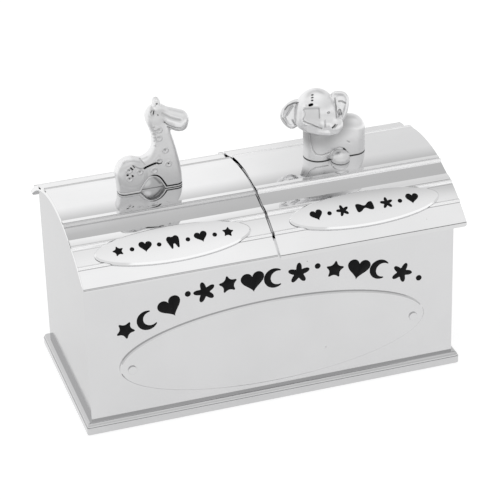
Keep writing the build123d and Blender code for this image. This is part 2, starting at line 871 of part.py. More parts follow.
# Body, front legs and foot, seated on the dome and bored for the screws
with BuildPart() as elephant_body:
    add(elephant_back.part)
    with BuildSketch(Plane.XY.offset(crown_z - overrun)):
        with Locations((leg_place.X, leg_place.Y)):
            Circle(front_leg_radius_share * elephant_height)
    extrude(amount=brow_place.Z - crown_z + overrun)
    add(foot)
    add(curl_dome, mode=Mode.SUBTRACT)
    with BuildSketch(Plane.XY.offset(crown_z - overrun)):
        with Locations(*elephant_screw_places):
            Circle(screw_radius + screw_hole_gap)
    extrude(amount=overrun + curl_lid_proud + screw_reach + screw_hole_gap, mode=Mode.SUBTRACT)

elephant_forms = [
    elephant_body.part,
    elephant_form(brow_centre_shares, upright_turn, brow_half_share, brow_radius_share),
    elephant_form(cheek_centre_shares, (0, 0, 0), cheek_half_share, cheek_radius_share),
]
for centre, turn in ear_shares:
    elephant_forms.append(elephant_ear(centre, turn))

with BuildPart() as elephant:
    for form in elephant_forms:
        add(form)
    with BuildLine():
        trunk_path = Spline(*[elephant_place(point) for point in trunk_shares])
    with BuildSketch(Plane(origin=trunk_path @ 0, z_dir=trunk_path % 0)):
        Circle(trunk_radius_share * elephant_height)
    sweep()
    with Locations(elephant_place(trunk_shares[-1])):
        Sphere(trunk_tip_radius_share * elephant_height)
    with Locations(*[elephant_place(eye) for eye in elephant_eye_shares]):
        Sphere(elephant_eye_radius_share * elephant_height)
finish(elephant.part, "elephant")
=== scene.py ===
import math

import bmesh
import bpy
import numpy as np
from mathutils import Euler, Matrix, Vector


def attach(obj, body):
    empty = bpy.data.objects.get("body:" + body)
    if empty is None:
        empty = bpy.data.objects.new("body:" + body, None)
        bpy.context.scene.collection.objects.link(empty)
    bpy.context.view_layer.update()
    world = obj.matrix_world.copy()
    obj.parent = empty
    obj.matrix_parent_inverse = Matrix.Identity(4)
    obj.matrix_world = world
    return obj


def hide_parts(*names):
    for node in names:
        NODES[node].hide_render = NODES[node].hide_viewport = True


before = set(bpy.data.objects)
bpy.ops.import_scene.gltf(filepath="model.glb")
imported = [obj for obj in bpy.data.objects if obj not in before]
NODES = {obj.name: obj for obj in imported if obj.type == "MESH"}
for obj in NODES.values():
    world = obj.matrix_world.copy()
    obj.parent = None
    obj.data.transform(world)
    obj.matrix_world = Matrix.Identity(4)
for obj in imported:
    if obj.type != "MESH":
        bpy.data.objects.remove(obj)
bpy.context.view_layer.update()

MM = 0.001

# Sizes, as in the CAD, in mm
HALF_DEPTH = 19.5
ARCH_RADIUS, CROWN_Z = 38.4, 47.6
ARCH_Z = CROWN_Z - ARCH_RADIUS
CURL_PROUD = 0.35
LID_CENTRE_X, LID_END_X = 21.8, 43.35
SEAM_X = 0.25
RIM_TOP_Z = 38.9
SHELL_MIDDLE = 37.85
PLAQUE_ANGLE = math.radians(28.4)
PLAQUE_FACE = 0.65

# Mouldings along the lids, in mm along the arch from the crown's middle: the beads from edge to
# edge, and the creases beside them
BEADS = [(8.55, 9.75), (15.5, 16.6), (20.9, 21.6)]
CREASES = [8.5, 15.35, 16.75, 20.85, 21.7]
# Sections of the raised flats, which lean to the crown: along the arch, and above its radius
FLATS = [
    [(7.25, -0.3), (7.25, 0.0), (7.6, 0.05), (7.95, 0.105), (8.3, 0.16), (8.42, -0.3)],
    [(13.2, -0.7), (13.2, -0.39), (13.85, -0.2), (14.5, -0.01), (15.1, 0.165), (15.3, 0.02),
     (15.6, 0.02), (15.6, -0.7)],
]
FLATS_SMOOTH_ANGLE = 25.0

# Painted light and shade on the lids' mouldings: shares of the tone, with the widths of their edges
# in mm
BEAD_HIGHLIGHT, FIRST_BEAD_SHADE, BEAD_ROUGHER, BEAD_EASE = 0.12, -0.22, 0.26, 0.15
CREASE_SHADE, CREASE_CORE, CREASE_EDGE = 0.28, 0.02, 0.16
RIM_SHADE_LEVEL, RIM_EASE = 0.75, 0.03
GROOVE_SHADE_LEVEL, GROOVE_CORE, GROOVE_EDGE = 0.55, 0.03, 0.1
END_SHADE_LEVEL, END_START, END_FULL = 0.86, 0.15, 0.03
SHELL_EASE, SEAM_EASE = 0.08, 0.05

# Silver plate: scales are in cells per metre, depths in metres
CLOUD_SCALE, CLOUD_LEVEL = 90.0, 0.975
PIT_SCALE, PIT_SIZE, PIT_STRENGTH, PIT_ROUGHER = 260.0, 0.06, 0.45, 0.3
PIT_COLOUR = (0.25, 0.25, 0.26)
# Painted light and shade on castings by which way their faces turn: darkest and brightest shares
UPRIGHT_SHADE, UPWARD_LIGHT = 0.90, 1.06
# Colour of the painted shade on castings, and the roughness it adds
PAINTED_SHADE_COLOUR, PAINTED_SHADE_ROUGHER = (0.004, 0.004, 0.004), 0.3
PIT_RELIEF, PIT_DEPTH = 0.5, 0.00003
SWELL_SCALE = 45.0
HAIR_SCALE, HAIR_RELIEF, HAIR_DEPTH = (70.0, 70.0, 5200.0), 0.12, 0.000004


class Tree:
    """Adds nodes to a material's or the world's tree."""

    def __init__(self, tree):
        self.tree = tree
        tree.nodes.clear()

    def add(self, kind, inputs=None, **settings):
        node = self.tree.nodes.new(kind)
        for key, value in settings.items():
            setattr(node, key, value)
        for key, value in (inputs or {}).items():
            if isinstance(value, bpy.types.NodeSocket):
                self.tree.links.new(value, node.inputs[key])
            else:
                node.inputs[key].default_value = value
        return node

    def math(self, operation, a, b=0.0):
        return self.add("ShaderNodeMath", {0: a, 1: b}, operation=operation).outputs[0]

    def away(self, value, place):
        """How far a value is from a place, on either side."""
        return self.math("ABSOLUTE", self.math("SUBTRACT", value, place))

    def band(self, value, low, high, to_low=0.0, to_high=1.0):
        """Smooth change between two levels as a value goes from low to high."""
        levels = {"From Min": low, "From Max": high, "To Min": to_low, "To Max": to_high}
        node = self.add(
            "ShaderNodeMapRange", {"Value": value, **levels}, interpolation_type="SMOOTHSTEP"
        )
        return node.outputs[0]

    def split(self, vector):
        return self.add("ShaderNodeSeparateXYZ", {"Vector": vector}).outputs

    def mix(self, share, first, second):
        """Colour between two, each a plain colour or a socket."""
        first, second = (
            (*colour, 1.0) if isinstance(colour, tuple) else colour for colour in (first, second)
        )
        node = self.add("ShaderNodeMix", {0: share, 6: first, 7: second}, data_type="RGBA")
        return node.outputs[2]

    def dimmed(self, colour, level):
        node = self.add("ShaderNodeVectorMath", {0: colour, "Scale": level}, operation="SCALE")
        return node.outputs["Vector"]

    def bump(self, height, strength, distance, under=None, invert=False):
        """Relief of a height, on top of the relief under it."""
        inputs = {"Strength": strength, "Distance": distance, "Height": height}
        if under:
            inputs["Normal"] = under
        return self.add("ShaderNodeBump", inputs, invert=invert).outputs["Normal"]

    def surface(self, inputs):
        shader = self.add("ShaderNodeBsdfPrincipled", inputs)
        self.add("ShaderNodeOutputMaterial", {"Surface": shader.outputs["BSDF"]})


def material(name):
    made = bpy.data.materials.new(name)
    made.use_nodes = True
    return made, Tree(made.node_tree)


def scaled(tree, scale):
    """Object coordinates in metres, stretched by a scale, or by one for each axis."""
    coords = tree.add("ShaderNodeTexCoord").outputs["Object"]
    stretch = scale if isinstance(scale, tuple) else (scale,) * 3
    return tree.add("ShaderNodeMapping", {"Vector": coords, "Scale": stretch}).outputs["Vector"]


def noise(tree, scale, detail=3.0, roughness=0.5):
    inputs = {"Scale": 1.0, "Detail": detail, "Roughness": roughness}
    node = tree.add("ShaderNodeTexNoise", {"Vector": scaled(tree, scale), **inputs})
    return node.outputs["Fac"]


def specks(tree, scale, size, share):
    """1 in small spots, one in some of the cells of a given scale, and 0 elsewhere."""
    cells = tree.add("ShaderNodeTexVoronoi", {"Vector": scaled(tree, scale), "Scale": 1.0})
    spot = tree.band(cells.outputs["Distance"], size, size * 0.5)
    lot = tree.add("ShaderNodeSeparateColor", {"Color": cells.outputs["Color"]}).outputs["Red"]
    return tree.math("MULTIPLY", spot, tree.math("LESS_THAN", lot, share))


def moulding_painted_light(tree, tone, roughness):
    """Painted highlights on the beads, and painted shade in the creases, on the rim's face, in a
    thin line at its top and towards the lid ends, on the lids' outer faces; the beads are also
    rougher.
    """
    spot = tree.split(tree.add("ShaderNodeTexCoord").outputs["Object"])
    rise = tree.math("SUBTRACT", spot["Z"], ARCH_Z * MM)
    angle = tree.math("ARCTAN2", tree.math("ABSOLUTE", spot["Y"]), rise)
    along = tree.math("MULTIPLY", angle, ARCH_RADIUS)
    reach = tree.add("ShaderNodeCombineXYZ", {"Y": spot["Y"], "Z": rise}).outputs["Vector"]
    radius = tree.add("ShaderNodeVectorMath", {0: reach}, operation="LENGTH").outputs["Value"]
    outside = tree.band(radius, (SHELL_MIDDLE - SHELL_EASE) * MM, (SHELL_MIDDLE + SHELL_EASE) * MM)
    level = 1.0
    # The left lid's first bead gets painted shade in place of the painted highlight
    first_bead_light = tree.band(
        spot["X"], SEAM_EASE * MM, -SEAM_EASE * MM, BEAD_HIGHLIGHT, FIRST_BEAD_SHADE
    )
    for start, end in BEADS:
        half = (end - start) / 2
        away = tree.away(along, (start + end) / 2)
        bead = tree.math("MULTIPLY", tree.band(away, half + BEAD_EASE, half - BEAD_EASE), outside)
        highlight = first_bead_light if start == BEADS[0][0] else BEAD_HIGHLIGHT
        level = tree.math("ADD", level, tree.math("MULTIPLY", bead, highlight))
        roughness = tree.math("ADD", roughness, tree.math("MULTIPLY", bead, BEAD_ROUGHER))
    for place in CREASES:
        crease = tree.band(tree.away(along, place), CREASE_CORE, CREASE_EDGE, CREASE_SHADE, 0.0)
        crease = tree.math("MULTIPLY", crease, outside)
        level = tree.math("MULTIPLY", level, tree.math("SUBTRACT", 1.0, crease))
    rim = tree.band(
        spot["Z"], (RIM_TOP_Z + RIM_EASE) * MM, (RIM_TOP_Z - RIM_EASE) * MM, 1.0, RIM_SHADE_LEVEL
    )
    groove = tree.away(spot["Z"], RIM_TOP_Z * MM)
    groove = tree.band(groove, GROOVE_CORE * MM, GROOVE_EDGE * MM, GROOVE_SHADE_LEVEL, 1.0)
    side = tree.math("ABSOLUTE", spot["X"])
    side = tree.band(
        side, (LID_END_X - END_START) * MM, (LID_END_X - END_FULL) * MM, 1.0, END_SHADE_LEVEL
    )
    for share in (rim, groove, side):
        level = tree.math("MULTIPLY", level, share)
    return tree.dimmed(tone, level), roughness


def silver(name, colour, rough, pit_share, swell, painted_shade_layer=False, lid=False):
    """Polished silver plate: faint clouding, casting waves, hairline scratches, small pits.
    Castings also get painted light on faces that look up, painted shade on upright faces and
    painted shade from their field's shade layer; lids get painted highlights and shade on their
    mouldings.
    """
    made, tree = material(name)
    cloud = noise(tree, CLOUD_SCALE)
    pits = specks(tree, PIT_SCALE, PIT_SIZE, pit_share)
    tone = tree.mix(
        tree.band(cloud, 0.3, 0.7), tuple(c * CLOUD_LEVEL for c in colour), colour
    )
    tone = tree.mix(tree.math("MULTIPLY", pits, PIT_STRENGTH), tone, PIT_COLOUR)
    roughness = tree.math(
        "ADD",
        tree.band(cloud, 0.35, 0.75, rough * 0.8, rough * 1.25),
        tree.math("MULTIPLY", pits, PIT_ROUGHER),
    )
    if painted_shade_layer:
        # Painted light where it faces up, painted shade on upright faces
        facing = tree.split(tree.add("ShaderNodeNewGeometry").outputs["Normal"])
        facing_light = tree.band(facing["Z"], -0.1, 0.8, UPRIGHT_SHADE, UPWARD_LIGHT)
        tone = tree.dimmed(tone, facing_light)
        # Painted shade from the casting's field: in grooves, pits and folds, under parts and where
        # it meets the lid
        shade_share = tree.add("ShaderNodeAttribute", attribute_name="painted_shade_layer").outputs["Fac"]
        tone = tree.mix(shade_share, tone, PAINTED_SHADE_COLOUR)
        roughness = tree.math("ADD", roughness, tree.math("MULTIPLY", shade_share, PAINTED_SHADE_ROUGHER))
    # Painted highlights and shade on the lids' mouldings
    if lid:
        tone, roughness = moulding_painted_light(tree, tone, roughness)
    relief = tree.bump(noise(tree, SWELL_SCALE, detail=1.0), 1.0, swell)
    relief = tree.bump(noise(tree, HAIR_SCALE, detail=2.0), HAIR_RELIEF, HAIR_DEPTH, relief)
    relief = tree.bump(pits, PIT_RELIEF, PIT_DEPTH, relief, invert=True)
    tree.surface({"Base Color": tone, "Roughness": roughness, "Metallic": 1.0, "Normal": relief})
    return made


def brushed(name, colour):
    """Satin plated steel with fine turning lines."""
    made, tree = material(name)
    lines = noise(tree, (9000.0, 300.0, 300.0))
    tree.surface({
        "Base Color": tree.mix(noise(tree, 300.0), tuple(c * 0.85 for c in colour), colour),
        "Metallic": 1.0,
        "Roughness": tree.band(lines, 0.2, 0.8, 0.22, 0.4),
        "Normal": tree.bump(lines, 0.25, 0.00001),
    })
    return made


def pile(name, dark, light, sheen, scale):
    """Velvet or felt: short pile that catches light at a glance."""
    made, tree = material(name)
    fibres = noise(tree, scale, detail=5.0, roughness=0.7)
    stroked = noise(tree, scale / 22, detail=2.0)
    mixed = tree.math(
        "ADD", tree.math("MULTIPLY", fibres, 0.55), tree.math("MULTIPLY", stroked, 0.45)
    )
    tree.surface({
        "Base Color": tree.mix(tree.band(mixed, 0.35, 0.65), dark, light),
        "Roughness": 0.95,
        "Sheen Weight": sheen,
        "Sheen Roughness": 0.4,
        "Normal": tree.bump(fibres, 0.8, 0.00012),
    })
    return made


def enamel(name):
    """Black enamel, glossy, with slight pooling."""
    made, tree = material(name)
    pool = noise(tree, 700.0, detail=2.0)
    tree.surface({
        "Base Color": tree.mix(pool, (0.002, 0.002, 0.002), (0.006, 0.006, 0.007)),
        "Roughness": tree.band(pool, 0.3, 0.7, 0.25, 0.4),
        "Specular IOR Level": 0.1,
        "Normal": tree.bump(pool, 0.6, 0.00003),
    })
    return made


# The body, the plinth and most of all the end walls take darker copies of one silver plate, as
# painted shade; the lids and castings keep it light
# Colour, roughness, share of the cells that are pitted, and height of the casting waves in metres
BODY_SHADED_SILVER = silver("body_shaded_silver", (0.64, 0.64, 0.645), 0.10, 0.10, 0.00001)
END_SHADED_SILVER = silver("end_shaded_silver", (0.45, 0.45, 0.455), 0.10, 0.10, 0.00001)
PLINTH_SHADED_SILVER = silver("plinth_shaded_silver", (0.58, 0.58, 0.585), 0.10, 0.10, 0.00001)
LID_SILVER = silver("lid_silver", (0.88, 0.88, 0.885), 0.045, 0.02, 0.00003, lid=True)
PLAQUE_SILVER = silver("plaque_silver", (0.88, 0.88, 0.885), 0.045, 0.02, 0.00003)
CAST_SILVER = silver("cast_silver", (0.86, 0.86, 0.865), 0.32, 0.02, 0.00001, painted_shade_layer=True)
HINGE_STEEL = brushed("hinge_steel", (0.72, 0.72, 0.73))
SCREW_STEEL = brushed("screw_steel", (0.66, 0.66, 0.67))
VELVET = pile("velvet", (0.008, 0.012, 0.045), (0.03, 0.045, 0.13), 0.7, 5000.0)
FELT = pile("felt", (0.008, 0.008, 0.009), (0.03, 0.03, 0.032), 0.3, 3500.0)
ENAMEL = enamel("enamel")

NODE_MATERIALS = {
    "base_pad": FELT,
    "tooth_compartment_lining": VELVET,
    "curl_compartment_lining": VELVET,
    "tooth_lid": LID_SILVER,
    "curl_lid": LID_SILVER,
    "tooth_lid_plaque": PLAQUE_SILVER,
    "curl_lid_plaque": PLAQUE_SILVER,
    "left_end_wall": END_SHADED_SILVER,
    "right_end_wall": END_SHADED_SILVER,
    "plinth_moulding": PLINTH_SHADED_SILVER,
    "giraffe": CAST_SILVER,
    "elephant": CAST_SILVER,
    "giraffe_screws": SCREW_STEEL,
    "elephant_screws": SCREW_STEEL,
}
for node_name, node in NODES.items():
    if "hinge" in node_name:
        look = HINGE_STEEL
    else:
        look = NODE_MATERIALS.get(node_name, BODY_SHADED_SILVER)
    for place in node.material_slots:
        place.material = look


# Enamel motifs, as closed outlines about 1 in half size
def smooth_outline(points, rounds):
    """Closed outline with its corners cut off, once in each round."""
    loop = np.array(points, float)
    for _ in range(rounds):
        after = np.roll(loop, -1, axis=0)
        loop = np.stack([loop * 0.75 + after * 0.25, loop * 0.25 + after * 0.75], 1).reshape(-1, 2)
    return loop


def polar(radius, count):
    turn = np.linspace(0, 2 * math.pi, count, endpoint=False)
    return np.stack([radius(turn) * np.cos(turn), radius(turn) * np.sin(turn)], 1)


def star():
    turns = [math.pi / 2 + k * math.pi / 5 for k in range(10)]
    sizes = [1.0 if k % 2 == 0 else 0.44 for k in range(10)]
    return smooth_outline([(r * math.cos(t), r * math.sin(t)) for r, t in zip(sizes, turns)], 2)


def heart():
    t = np.linspace(0, 2 * math.pi, 44, endpoint=False)
    x = 16 * np.sin(t) ** 3
    y = 13 * np.cos(t) - 5 * np.cos(2 * t) - 2 * np.cos(3 * t) - np.cos(4 * t)
    return np.stack([x, y + 2.0], 1)[::-1] / 16.0


def moon():
    full = 2 * math.pi
    outer = [(math.cos(a), math.sin(a)) for a in np.linspace(0.85, full - 0.85, 26)]
    inner = [
        (0.36 + 0.72 * math.cos(a), 0.72 * math.sin(a)) for a in np.linspace(full - 1.25, 1.25, 20)
    ]
    return smooth_outline(outer + inner, 1) + (-0.1, 0.0)


def flower():
    return polar(lambda t: 0.72 + 0.27 * np.cos(5 * (t - math.pi / 2)), 70)


def dot():
    return polar(lambda t: 0.42 + 0 * t, 24)


def bow():
    half = [(0.12, 0.16), (0.55, 0.52), (0.98, 0.55), (1.02, 0.0), (0.98, -0.55), (0.55, -0.52),
            (0.12, -0.16)]
    return smooth_outline(half[::-1] + [(-x, y) for x, y in half], 2)


def tooth():
    right = [(0.0, 0.62), (0.42, 0.88), (0.80, 0.62), (0.78, 0.10), (0.62, -0.45), (0.50, -0.98),
             (0.28, -0.92), (0.16, -0.38)]
    left = [(-x, y) for x, y in right[:0:-1]]
    return smooth_outline((right + [(0.0, -0.26)] + left)[::-1], 2)


MOTIFS = {
    "star": star, "heart": heart, "moon": moon, "flower": flower, "dot": dot, "bow": bow,
    "tooth": tooth,
}
# Enamel, in mm: half its height on the face, its rounded top, and how far that is drawn in
ENAMEL_HALF, ENAMEL_TOP, ENAMEL_INSET = 0.06, 0.09, 0.04


def signed_area(loop):
    x, y = loop[:, 0], loop[:, 1]
    return 0.5 * float(np.sum(x * np.roll(y, -1) - np.roll(x, -1) * y))


def inset(loop, amount):
    """Loop moved inwards along its corner normals."""
    before, after = np.roll(loop, 1, axis=0), np.roll(loop, -1, axis=0)
    along = after - before
    along /= np.maximum(np.linalg.norm(along, axis=1, keepdims=True), 1e-9)
    return loop + amount * np.stack([-along[:, 1], along[:, 0]], 1)


def bridge(work, low, high):
    """Faces between two closed rows of points."""
    for k in range(len(low)):
        n = (k + 1) % len(low)
        work.faces.new((low[k], low[n], high[n], high[k]))


def motif_mesh(work, loop, place):
    """Raised enamel of one outline, in mm, set by a 4x4 place."""
    if signed_area(loop) < 0:
        loop = loop[::-1]
    rows = [(loop, -ENAMEL_HALF), (loop, ENAMEL_HALF), (inset(loop, ENAMEL_INSET), ENAMEL_TOP)]
    made = [
        [work.verts.new(place @ Vector((x, y, height)) * MM) for x, y in row]
        for row, height in rows
    ]
    for low, high in zip(made, made[1:]):
        bridge(work, low, high)
    work.faces.new(made[-1])
    work.faces.new(made[0][::-1])


def piece(name, work, look, body, smooth_angle=40.0):
    """Object of a finished bmesh, riding on a body."""
    mesh = bpy.data.meshes.new(name)
    work.normal_update()
    work.to_mesh(mesh)
    work.free()
    mesh.materials.append(look)
    made = bpy.data.objects.new(name, mesh)
    bpy.context.scene.collection.objects.link(made)
    mesh.shade_smooth()
    mesh.set_sharp_from_angle(angle=math.radians(smooth_angle))
    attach(made, body)


def front_place(x, z, turn):
    """Place on the front wall's face, square to it."""
    return (
        Matrix.Translation((x, -HALF_DEPTH, z))
        @ Matrix.Rotation(math.radians(90), 4, "X")
        @ Matrix.Rotation(math.radians(turn), 4, "Z")
    )


def lid_place(x, along, proud, turn):
    """Place on a lid plaque's face; along is measured down the slope from its middle."""
    angle = PLAQUE_ANGLE + along / ARCH_RADIUS
    radius = ARCH_RADIUS + proud + PLAQUE_FACE
    return (
        Matrix.Translation((x, -radius * math.sin(angle), ARCH_Z + radius * math.cos(angle)))
        @ Matrix.Rotation(angle, 4, "X")
        @ Matrix.Rotation(math.radians(turn), 4, "Z")
    )


# Front wall: motif, place along, height, half size, turn
FRONT_MOTIFS = [
    ("star", -33.7, 24.4, 2.5, 42),
    ("moon", -28.5, 26.0, 2.4, 24),
    ("heart", -23.4, 28.1, 2.7, 22),
    ("dot", -19.4, 30.6, 1.6, 0),
    ("flower", -15.6, 30.3, 2.6, 14),
    ("star", -10.2, 31.1, 2.5, 8),
    ("heart", -4.6, 30.6, 2.7, 4),
    ("moon", 0.6, 30.6, 2.4, 0),
    ("flower", 6.0, 30.7, 2.6, -3),
    ("dot", 10.4, 31.6, 1.6, 0),
    ("star", 14.4, 29.9, 2.5, -10),
    ("heart", 19.9, 28.9, 2.7, -14),
    ("moon", 25.2, 27.8, 2.4, -20),
    ("flower", 30.2, 26.0, 2.5, -28),
    ("dot", 34.3, 23.8, 1.6, 0),
]
# Plaques: motif, place along, place down the slope, half size, turn
TOOTH_MOTIFS = [
    ("star", -12.2, 0.0, 1.45, 10),
    ("dot", -9.2, 0.1, 1.2, 0),
    ("heart", -6.2, 0.0, 1.45, -6),
    ("dot", -3.2, 0.1, 1.2, 0),
    ("tooth", 0.0, 0.0, 1.75, 4),
    ("dot", 3.2, 0.1, 1.2, 0),
    ("heart", 6.2, 0.0, 1.45, 8),
    ("dot", 9.2, 0.1, 1.2, 0),
    ("star", 12.2, 0.0, 1.45, -12),
]
CURL_MOTIFS = [
    ("heart", -11.2, 0.0, 1.45, 8),
    ("dot", -8.3, 0.1, 1.2, 0),
    ("flower", -5.2, 0.0, 1.5, 10),
    ("bow", -0.1, 0.0, 2.0, 3),
    ("flower", 5.0, 0.0, 1.5, 0),
    ("dot", 8.1, 0.1, 1.2, 0),
    ("heart", 11.0, 0.0, 1.45, -8),
]
# Lids: body, the side it lies on, how much prouder its arch is, and its plaque's motifs
LIDS = [("tooth_lid", -1, 0.0, TOOTH_MOTIFS), ("curl_lid", 1, CURL_PROUD, CURL_MOTIFS)]

work = bmesh.new()
for name, x, z, size, turn in FRONT_MOTIFS:
    motif_mesh(work, MOTIFS[name]() * size, front_place(x, z, turn))
piece("front_enamel_motifs", work, ENAMEL, "box")

for body, side, proud, rows in LIDS:
    work = bmesh.new()
    for motif, x, along, size, turn in rows:
        place = lid_place(side * LID_CENTRE_X + x, along, proud, turn)
        motif_mesh(work, MOTIFS[motif]() * size, place)
    piece(body + "_enamel_motifs", work, ENAMEL, body)


def flat_strip(work, section, slope, side, proud):
    """One raised flat from the seam to the lid's end, on one slope of the arch."""
    ends = []
    for x in (side * SEAM_X, side * LID_END_X):
        end = []
        for along, rise in section:
            angle, radius = along / ARCH_RADIUS, ARCH_RADIUS + proud + rise
            spot = Vector((x, slope * radius * math.sin(angle), ARCH_Z + radius * math.cos(angle)))
            end.append(work.verts.new(spot * MM))
        work.faces.new(end)
        ends.append(end)
    bridge(work, *ends)


for body, side, proud, _ in LIDS:
    work = bmesh.new()
    for slope in (-1, 1):
        for section in FLATS:
            flat_strip(work, section, slope, side, proud)
    bmesh.ops.recalc_face_normals(work, faces=work.faces)
    piece(body + "_flats", work, LID_SILVER, body, FLATS_SMOOTH_ANGLE)


# Sculpting: forms as signed distances in mm, skinned into a mesh
def blend(a, b, soft):
    """Union of two forms with a fillet."""
    share = np.clip(0.5 + 0.5 * (b - a) / soft, 0.0, 1.0)
    return b + (a - b) * share - soft * share * (1.0 - share)


def carve(form, cutter, soft):
    """Form with a cutter taken out, its edges eased."""
    return -blend(-form, cutter, soft)


def turned(x, y, z, centre, turn):
    """Coordinates in a frame at a centre, turned by XYZ angles in degrees."""
    matrix = Euler([math.radians(angle) for angle in turn]).to_matrix().transposed()
    dx, dy, dz = x - centre[0], y - centre[1], z - centre[2]
    return tuple(row[0] * dx + row[1] * dy + row[2] * dz for row in matrix)


def egg(x, y, z, centre, radii, turn=(0, 0, 0)):
    """Ellipsoid."""
    local = turned(x, y, z, centre, turn)
    reach = np.sqrt(sum((v / r) ** 2 for v, r in zip(local, radii)))
    slope = np.sqrt(sum((v / r ** 2) ** 2 for v, r in zip(local, radii)))
    return reach * (reach - 1.0) / np.maximum(slope, 1e-6)


def limb(x, y, z, start, end, start_radius, end_radius):
    """Tapered round bar between two points."""
    axis = np.subtract(end, start)
    along = (x - start[0]) * axis[0] + (y - start[1]) * axis[1] + (z - start[2]) * axis[2]
    along = np.clip(along / (axis @ axis), 0.0, 1.0)
    dx, dy, dz = (v - s - along * a for v, s, a in zip((x, y, z), start, axis))
    radius = start_radius + (end_radius - start_radius) * along
    return np.sqrt(dx * dx + dy * dy + dz * dz) - radius


def route(x, y, z, points, radii):
    """Tapered bar through several points."""
    form = None
    for k in range(len(points) - 1):
        step = limb(x, y, z, points[k], points[k + 1], radii[k], radii[k + 1])
        form = step if form is None else np.minimum(form, step)
    return form


def segments(loop, closed):
    if closed:
        return zip(loop, np.roll(loop, -1, axis=0))
    return zip(loop[:-1], loop[1:])


def outline_distance(loop, u, v, closed=True):
    """Distance to a flat outline, negative inside where it is closed."""
    nearest, sign = None, 1.0
    for (u0, v0), (u1, v1) in segments(loop, closed):
        du, dv = u1 - u0, v1 - v0
        share = np.clip(((u - u0) * du + (v - v0) * dv) / (du * du + dv * dv), 0.0, 1.0)
        gap = np.hypot(u - u0 - share * du, v - v0 - share * dv)
        nearest = gap if nearest is None else np.minimum(nearest, gap)
        if closed:
            above, ahead = v >= v0, v < v1
            turn = du * (v - v0) > dv * (u - u0)
            flip = (above & ahead & turn) | (~above & ~ahead & ~turn)
            sign = np.where(flip, -sign, sign)
    return nearest * sign if closed else nearest


def line(points, u, v):
    """Distance to a line of points."""
    return outline_distance(np.array(points, float), u, v, closed=False)


def slab(outline, depth, rounding):
    """Solid from an outline's distance and a depth's distance, its edges rounded."""
    u, v = outline + rounding, depth + rounding
    corner = np.hypot(np.maximum(u, 0.0), np.maximum(v, 0.0))
    return corner + np.minimum(np.maximum(u, v), 0.0) - rounding


def ramp(value, low, high):
    """Smooth step from 0 to 1."""
    share = np.clip((value - low) / (high - low), 0.0, 1.0)
    return share * share * (3.0 - 2.0 * share)


# A field is first tried in blocks of this many steps, and worked out only in those near its surface
BLOCK = 4
BLOCK_REACH = 1.5
# Points are pulled to the surface this often, by slopes measured over this reach in mm
PULLS = 3
SLOPE_REACH = 0.02
LEAST_SLOPE = 0.05


def grid_values(field, low, high, step):
    """A field's values at the corners of a grid, exact near its surface."""
    blocks = [int(math.ceil((h - l) / step / BLOCK)) for l, h in zip(low, high)]
    counts = [BLOCK * n + 1 for n in blocks]
    axes = [l + step * np.arange(n) for l, n in zip(low, counts)]
    middles = [l + step * (BLOCK * np.arange(n) + BLOCK / 2) for l, n in zip(low, blocks)]
    rough = field(*np.meshgrid(*middles, indexing="ij"))[0]
    near = np.abs(rough) < BLOCK_REACH * BLOCK * step
    values = np.where(rough < 0, -1.0, 1.0)
    for axis in range(3):
        values = np.repeat(values, BLOCK, axis=axis)
    values = np.pad(values, (0, 1), mode="edge")
    wanted = np.zeros(counts, bool)
    steps = range(BLOCK + 1)
    for shift in [(i, j, k) for i in steps for j in steps for k in steps]:
        wanted[tuple(slice(s, s + BLOCK * n, BLOCK) for s, n in zip(shift, blocks))] |= near
    spots = (axis[spot] for axis, spot in zip(axes, np.nonzero(wanted)))
    values[wanted] = field(*spots)[0]
    return values


def skin(field, low, high, step):
    """Points, faces and normals of a field's surface, one point in each cell that it crosses."""
    values = grid_values(field, low, high, step)
    counts, inside = values.shape, values < 0
    corners = np.array([(i, j, k) for i in (0, 1) for j in (0, 1) for k in (0, 1)])
    total = sum(
        inside[tuple(slice(c, n - 1 + c) for c, n in zip(corner, counts))].astype(int)
        for corner in corners
    )
    cells = np.argwhere((total > 0) & (total < 8))
    number = np.full([n - 1 for n in counts], -1)
    number[tuple(cells.T)] = np.arange(len(cells))
    at_corner = values[tuple(np.moveaxis(cells[:, None, :] + corners, 2, 0))]
    place, crossings = np.zeros((len(cells), 3)), np.zeros((len(cells), 1))
    for a in range(8):
        for b in range(a + 1, 8):
            if np.abs(corners[a] - corners[b]).sum() != 1:
                continue
            crossed = (at_corner[:, a] < 0) != (at_corner[:, b] < 0)
            drop = np.where(crossed, at_corner[:, a] - at_corner[:, b], 1.0)
            share = at_corner[:, a] / drop
            spot = corners[a] + share[:, None] * (corners[b] - corners[a])
            place += np.where(crossed[:, None], spot, 0.0)
            crossings += crossed[:, None]
    points = np.array(low) + step * (cells + place / crossings)
    faces = []
    for axis in range(3):
        one, two = (axis + 1) % 3, (axis + 2) % 3
        change = np.diff(inside.astype(int), axis=axis)
        keep = [slice(None)] * 3
        keep[one], keep[two] = slice(1, counts[one] - 1), slice(1, counts[two] - 1)
        for sign in (-1, 1):
            edges = np.argwhere(change[tuple(keep)] == sign)
            edges[:, one] += 1
            edges[:, two] += 1
            quad = []
            for back_one, back_two in ((0, 0), (1, 0), (1, 1), (0, 1))[::-sign]:
                cell = edges.copy()
                cell[:, one] -= back_one
                cell[:, two] -= back_two
                quad.append(number[tuple(cell.T)])
            faces.append(np.stack(quad, 1))
    for _ in range(PULLS):
        slope = np.stack([
            field(*(points + offset).T)[0] - field(*(points - offset).T)[0]
            for offset in np.eye(3) * SLOPE_REACH
        ], 1) / (2 * SLOPE_REACH)
        size = np.maximum((slope ** 2).sum(1, keepdims=True), LEAST_SLOPE)
        points = points - np.clip(field(*points.T)[0][:, None] / size, -step, step) * slope
    return points, np.concatenate(faces), slope / np.sqrt(size)


# Marks on a form. A state is the form and its painted shade, which says how dark its plating is
# painted to stand for shade. OFF is added to the distance from a line where its mark is unwanted.
OFF = 9.0


